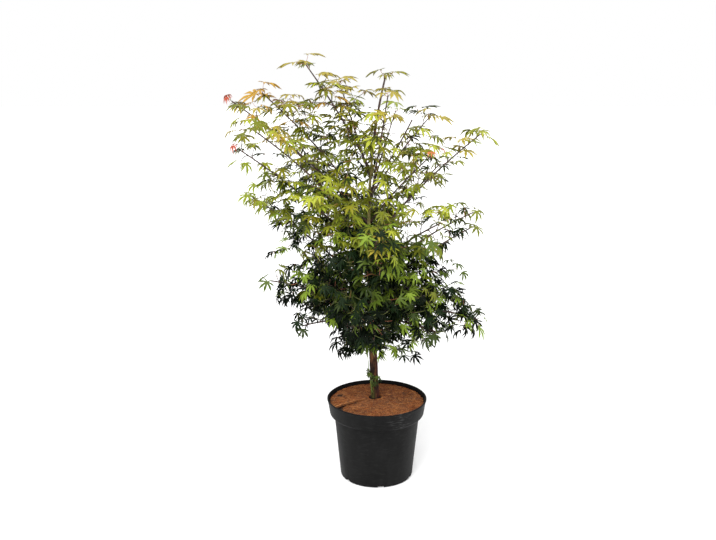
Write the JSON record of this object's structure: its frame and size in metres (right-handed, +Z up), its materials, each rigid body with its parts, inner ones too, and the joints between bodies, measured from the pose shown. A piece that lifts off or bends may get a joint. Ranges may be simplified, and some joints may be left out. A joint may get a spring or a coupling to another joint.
{
  "type": "young maple tree in a nursery pot",
  "caption": "Young single-stem Japanese maple with long ascending shoots and small lobed leaves, in a round black plastic nursery pot topped with a coir mulch disc.",
  "frame": {"origin": "centre of the pot's flat underside", "axes": "+Z up along the stem, +X to the right and -Y to the front of the plant"},
  "size_m": [0.7202, 0.6125, 1.1833],
  "materials": {
    "pot": "matt moulded black plastic with light scuffs",
    "growing_mix": "dark moist growing mix of bark and peat",
    "mulch": "pressed reddish-brown coir fibre",
    "bark": "smooth young bark, olive grey at the foot, reddish brown above",
    "leaves": "thin soft leaves, dark green below, yellow-green above, a few orange and red at the tips"
  },
  "bodies": {
    "root": {"pot": "pot", "growing_mix": "growing_mix", "mulch_disc": "mulch", "trunk": "bark", "bough_top_left": "bark", "bough_top_back": "bark", "bough_top_front": "bark", "bough_top_right": "bark", "bough_top_back_right": "bark", "bough_top_front_right": "bark", "bough_high_left": "bark", "bough_far_left": "bark", "bough_near_left": "bark", "bough_out_left": "bark", "bough_back_left": "bark", "bough_far_right": "bark", "bough_back_right": "bark", "bough_front_left": "bark", "bough_front_right": "bark", "bough_mid_right": "bark", "bough_low_right": "bark", "bough_back": "bark", "bough_low_left": "bark", "bough_front": "bark", "bough_waist_left": "bark", "bough_skirt_left": "bark", "bough_skirt_front": "bark", "bough_skirt_front_right": "bark", "bough_skirt_right": "bark", "bough_skirt_back_right": "bark", "bough_skirt_back_left": "bark", "bough_pruned": "bark", "leaves_leader": "leaves", "leaves_top_left": "leaves", "leaves_top_back": "leaves", "leaves_top_front": "leaves", "leaves_top_right": "leaves", "leaves_top_back_right": "leaves", "leaves_top_front_right": "leaves", "leaves_high_left": "leaves", "leaves_far_left": "leaves", "leaves_near_left": "leaves", "leaves_out_left": "leaves", "leaves_back_left": "leaves", "leaves_far_right": "leaves", "leaves_back_right": "leaves", "leaves_front_left": "leaves", "leaves_front_right": "leaves", "leaves_mid_right": "leaves", "leaves_low_right": "leaves", "leaves_back": "leaves", "leaves_low_left": "leaves", "leaves_front": "leaves", "leaves_waist_left": "leaves", "leaves_skirt_left": "leaves", "leaves_skirt_front": "leaves", "leaves_skirt_front_right": "leaves", "leaves_skirt_right": "leaves", "leaves_skirt_back_right": "leaves", "leaves_skirt_back_left": "leaves"}
  },
  "joints": []
}
